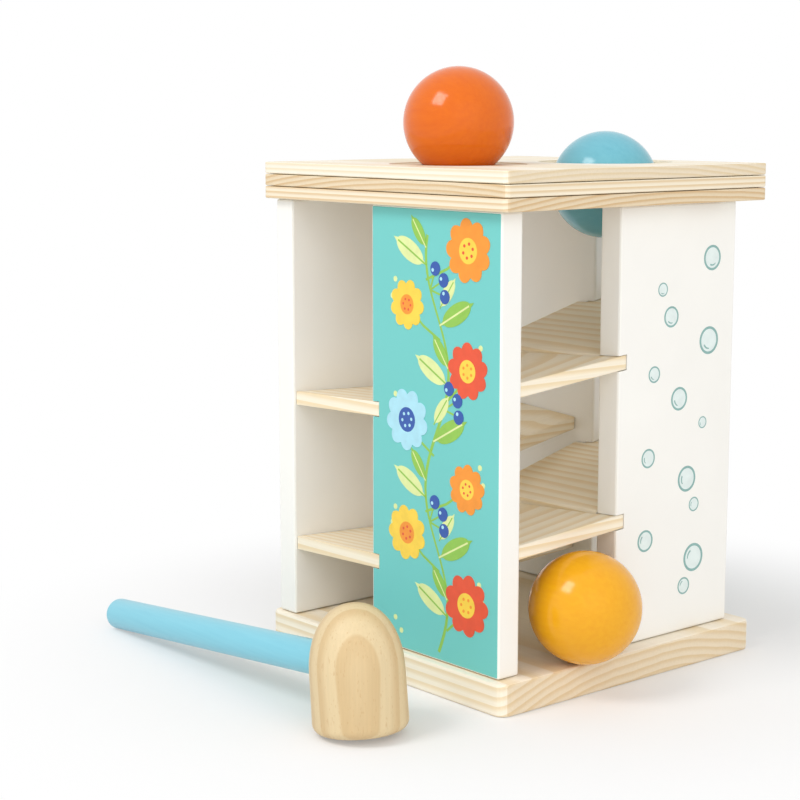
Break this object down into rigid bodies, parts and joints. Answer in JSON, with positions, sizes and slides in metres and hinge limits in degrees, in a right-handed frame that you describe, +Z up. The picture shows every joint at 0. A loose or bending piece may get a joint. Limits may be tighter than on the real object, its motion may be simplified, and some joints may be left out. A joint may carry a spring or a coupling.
{
  "type": "pounding ball tower",
  "caption": "Wooden pounding ball tower with open bays, spiral ramps, printed side panels, coloured balls in elastic rings and a loose wooden hammer.",
  "frame": {"origin": "middle of the base board's underside, on the table", "axes": "+Z up, -Y out of the front picture panel, +X out of the side where the ball comes out"},
  "size_m": [0.2372, 0.2272, 0.258],
  "materials": {
    "pine": "fine sanded, clear matt",
    "plywood": "fine sanded, clear matt",
    "beech": "fine sanded, clear matt",
    "picture_print": "printed satin paint",
    "bubble_print": "printed satin paint",
    "orange_lacquer": "gloss lacquer",
    "blue_lacquer": "gloss lacquer",
    "yellow_lacquer": "gloss lacquer",
    "blue_paint": "satin paint",
    "latex_rubber": "matt",
    "zinc_steel": "zinc plated"
  },
  "bodies": {
    "tower": {"base_board": "pine", "picture_panel_front": "picture_print", "picture_panel_rear": "picture_print", "bubble_panel_right": "bubble_print", "bubble_panel_left": "bubble_print", "deck_bottom_layer": "plywood", "deck_middle_layer": "plywood", "deck_top_layer": "plywood", "ramp_1_right_rear": "pine", "ramp_2_right_front": "pine", "ramp_3_left_front": "pine", "ramp_4_left_rear": "pine", "ramp_5_right_rear": "pine", "ramp_6_right_front": "pine", "ramp_7_left_front": "pine", "ramp_8_left_rear": "pine", "exit_deflector": "pine", "orange_ball_ring": "latex_rubber", "blue_ball_ring": "latex_rubber", "base_screw_1": "zinc_steel", "base_screw_2": "zinc_steel", "base_screw_3": "zinc_steel", "base_screw_4": "zinc_steel", "base_screw_5": "zinc_steel", "base_screw_6": "zinc_steel", "base_screw_7": "zinc_steel", "base_screw_8": "zinc_steel", "deck_dowel_1": "beech", "deck_dowel_2": "beech", "deck_dowel_3": "beech", "deck_dowel_4": "beech", "deck_dowel_5": "beech", "deck_dowel_6": "beech", "deck_dowel_7": "beech", "deck_dowel_8": "beech"},
    "orange_ball": {"orange_ball": "orange_lacquer"},
    "blue_ball": {"blue_ball": "blue_lacquer"},
    "yellow_ball": {"yellow_ball": "yellow_lacquer"},
    "hammer": {"hammer_head": "beech", "hammer_handle": "blue_paint"}
  },
  "joints": [
    {"name": "orange_ball_drop", "type": "slide", "parent": "tower", "child": "orange_ball", "axis": [0, 0, 1], "range_m": [-0.077, 0.05], "deforming": ["orange_ball_ring"]},
    {"name": "blue_ball_drop", "type": "slide", "parent": "tower", "child": "blue_ball", "axis": [0, 0, 1], "range_m": [-0.034, 0.06], "deforming": ["blue_ball_ring"]},
    {"name": "yellow_ball_roll", "type": "slide", "parent": "tower", "child": "yellow_ball", "axis": [1, 0, 0], "range_m": [-0.03, 0.06]},
    {"name": "hammer_lift", "type": "slide", "parent": "tower", "child": "hammer", "axis": [0, 0, 1], "range_m": [0, 0.15]}
  ]
}
